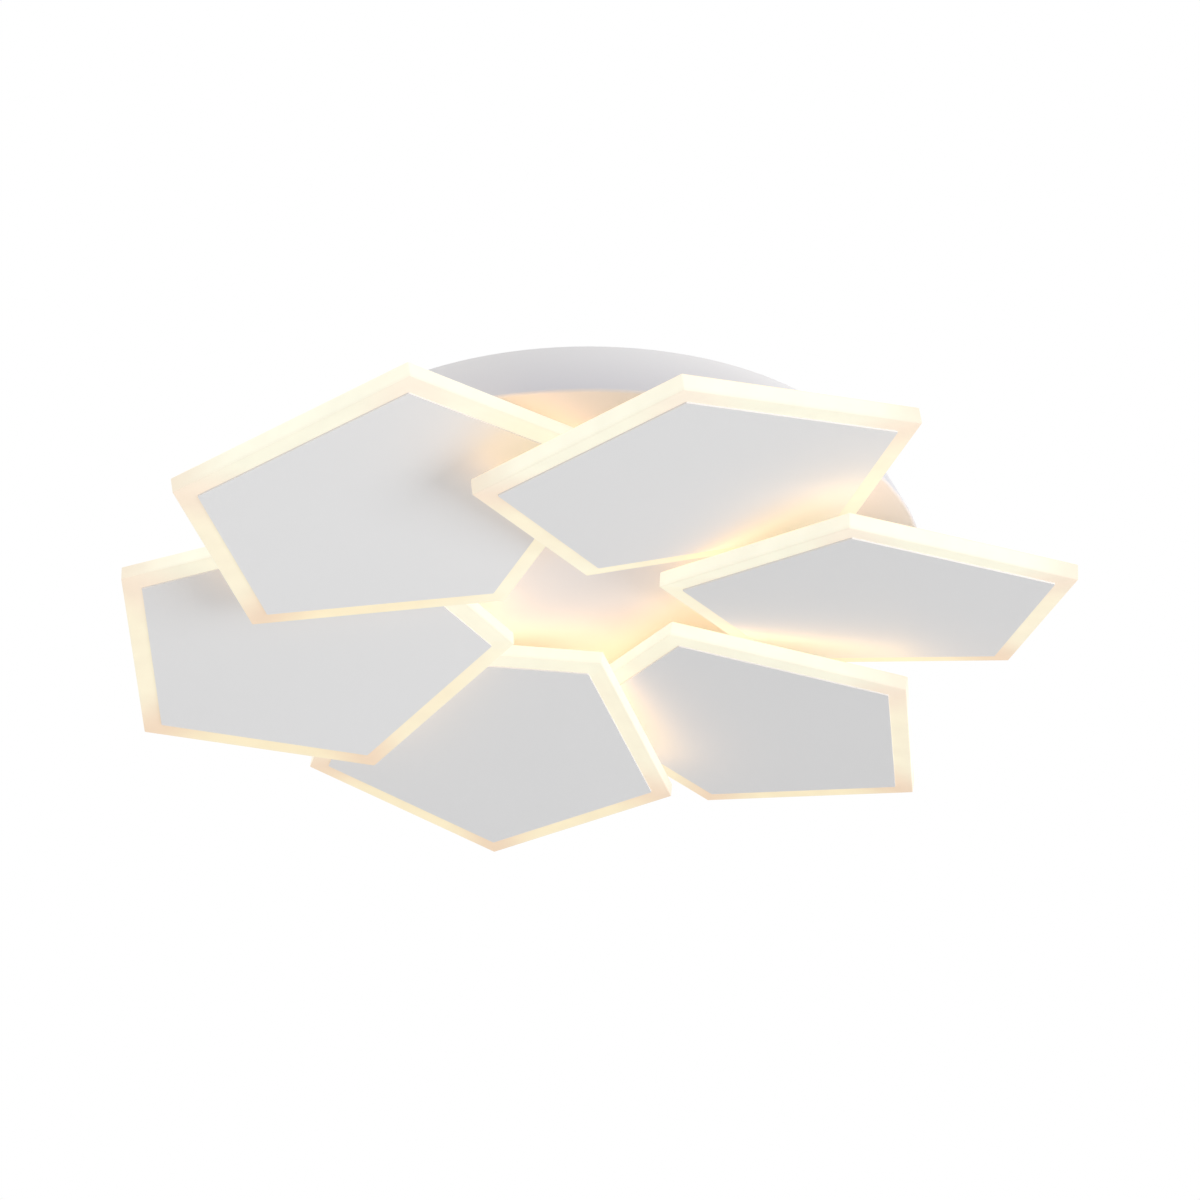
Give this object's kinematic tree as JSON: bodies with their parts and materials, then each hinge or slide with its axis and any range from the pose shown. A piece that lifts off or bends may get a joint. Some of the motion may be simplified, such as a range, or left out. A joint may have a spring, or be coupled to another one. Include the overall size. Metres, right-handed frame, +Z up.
{
  "type": "flush mount ceiling light",
  "caption": "Flush mount ceiling light: a shallow round canopy pan carrying a ring of overlapping, tilted pentagon light panels with glowing acrylic edges and painted plates.",
  "frame": {"origin": "middle of the ceiling plane, at the centre of the canopy pan and of the crossbar's slots", "axes": "+Z up into the ceiling, X along the crossbar, Y across it"},
  "size_m": [0.5884, 0.6121, 0.1016],
  "materials": {
    "plate_paint": "satin white powder paint",
    "pan_paint": "satin white powder paint",
    "bracket_paint": "satin white powder paint",
    "diffusing_acrylic": "frosted opal acrylic, lit warm white",
    "back_paint": "satin white paint on aluminium sheet",
    "board_white": "white solder resist on aluminium",
    "chip_phosphor": "yellow phosphor under clear silicone",
    "zinc_steel": "bright zinc plated",
    "washer_plastic": "natural nylon",
    "galvanised_steel": "galvanised, dull",
    "nickelled_screw": "satin nickel",
    "driver_plastic": "moulded white, fine texture",
    "circuit_board": "green solder resist",
    "component_plastic": "black moulded",
    "terminal_plastic": "natural nylon",
    "brass_screw": "turned",
    "grommet_rubber": "light grey",
    "lead_sheath": "white round sheath",
    "supply_sheath": "brown, blue and green with yellow sheaths"
  },
  "bodies": {
    "canopy": {"petal_bracket_1": "bracket_paint", "petal_bracket_2": "bracket_paint", "petal_bracket_3": "bracket_paint", "petal_bracket_4": "bracket_paint", "petal_bracket_5": "bracket_paint", "petal_bracket_6": "bracket_paint", "pivot_bolts": "zinc_steel", "friction_washers": "washer_plastic", "lock_nuts": "zinc_steel", "canopy_pan": "pan_paint", "ceiling_crossbar": "galvanised_steel", "side_screws": "nickelled_screw", "pan_screws": "zinc_steel", "driver_case": "driver_plastic", "driver_cover": "driver_plastic", "driver_board": "circuit_board", "driver_components": "component_plastic", "terminal_block": "terminal_plastic", "terminal_screws": "brass_screw", "stud_nuts": "zinc_steel", "lead_grommets": "grommet_rubber", "petal_leads": "lead_sheath", "supply_leads": "supply_sheath"},
    "petal_1": {"face_plate_1": "plate_paint", "light_guide_1": "diffusing_acrylic", "back_plate_1": "back_paint", "led_board_1": "board_white", "led_chips_1": "chip_phosphor", "back_screws_1": "zinc_steel"},
    "petal_2": {"face_plate_2": "plate_paint", "light_guide_2": "diffusing_acrylic", "back_plate_2": "back_paint", "led_board_2": "board_white", "led_chips_2": "chip_phosphor", "back_screws_2": "zinc_steel"},
    "petal_3": {"face_plate_3": "plate_paint", "light_guide_3": "diffusing_acrylic", "back_plate_3": "back_paint", "led_board_3": "board_white", "led_chips_3": "chip_phosphor", "back_screws_3": "zinc_steel"},
    "petal_4": {"face_plate_4": "plate_paint", "light_guide_4": "diffusing_acrylic", "back_plate_4": "back_paint", "led_board_4": "board_white", "led_chips_4": "chip_phosphor", "back_screws_4": "zinc_steel"},
    "petal_5": {"face_plate_5": "plate_paint", "light_guide_5": "diffusing_acrylic", "back_plate_5": "back_paint", "led_board_5": "board_white", "led_chips_5": "chip_phosphor", "back_screws_5": "zinc_steel"},
    "petal_6": {"face_plate_6": "plate_paint", "light_guide_6": "diffusing_acrylic", "back_plate_6": "back_paint", "led_board_6": "board_white", "led_chips_6": "chip_phosphor", "back_screws_6": "zinc_steel"}
  },
  "joints": [
    {"name": "petal_1_turn", "type": "hinge", "parent": "canopy", "child": "petal_1", "pos_m": [-0.15892, -0.09175, -0.0815], "axis": [-0.1578, 0.0911, 0.9833], "range_deg": [-6.3, 9.7]},
    {"name": "petal_2_turn", "type": "hinge", "parent": "canopy", "child": "petal_2", "pos_m": [0, -0.1835, -0.0815], "axis": [-0.1578, -0.0911, 0.9833], "range_deg": [-3.4, 12.6]},
    {"name": "petal_3_turn", "type": "hinge", "parent": "canopy", "child": "petal_3", "pos_m": [0.15892, -0.09175, -0.0815], "axis": [0, -0.1822, 0.9833], "range_deg": [-10.9, 5.1]},
    {"name": "petal_4_turn", "type": "hinge", "parent": "canopy", "child": "petal_4", "pos_m": [0.15892, 0.09175, -0.0815], "axis": [0.1578, -0.0911, 0.9833], "range_deg": [-8.4, 7.6]},
    {"name": "petal_5_turn", "type": "hinge", "parent": "canopy", "child": "petal_5", "pos_m": [0, 0.1835, -0.0815], "axis": [0.1578, 0.0911, 0.9833], "range_deg": [-9.5, 6.5]},
    {"name": "petal_6_turn", "type": "hinge", "parent": "canopy", "child": "petal_6", "pos_m": [-0.15892, 0.09175, -0.0815], "axis": [0, 0.1822, 0.9833], "range_deg": [-7, 9]}
  ]
}
